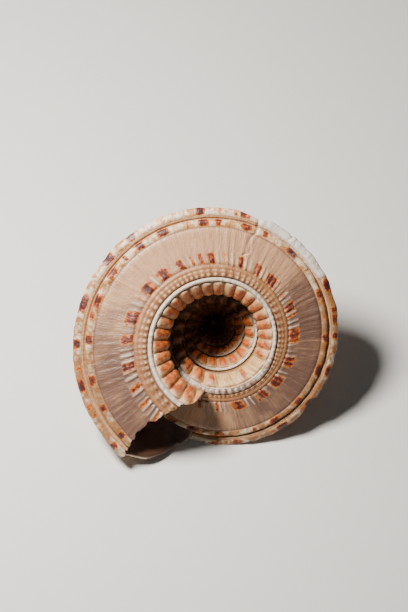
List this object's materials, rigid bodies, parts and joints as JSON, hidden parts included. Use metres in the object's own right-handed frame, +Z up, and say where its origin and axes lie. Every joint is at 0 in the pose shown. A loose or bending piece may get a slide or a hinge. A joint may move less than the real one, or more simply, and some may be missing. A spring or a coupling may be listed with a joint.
{
  "type": "sundial shell",
  "caption": "Low conical sea snail shell with a wide open umbilicus edged with teeth and a broken lip, lying on its flank.",
  "frame": {"origin": "bottom centre of the bounding box, on the surface that the shell lies on", "axes": "+Z up from the worn flat under the flank; -Y towards the side that the umbilicus opens to, the coiling axis rising from it at 50 degrees"},
  "size_m": [0.0498, 0.0386, 0.0315],
  "materials": {
    "shell_lime": "satin, banded cream, tan and red-brown"
  },
  "bodies": {
    "root": {"shell": "shell_lime"}
  },
  "joints": []
}
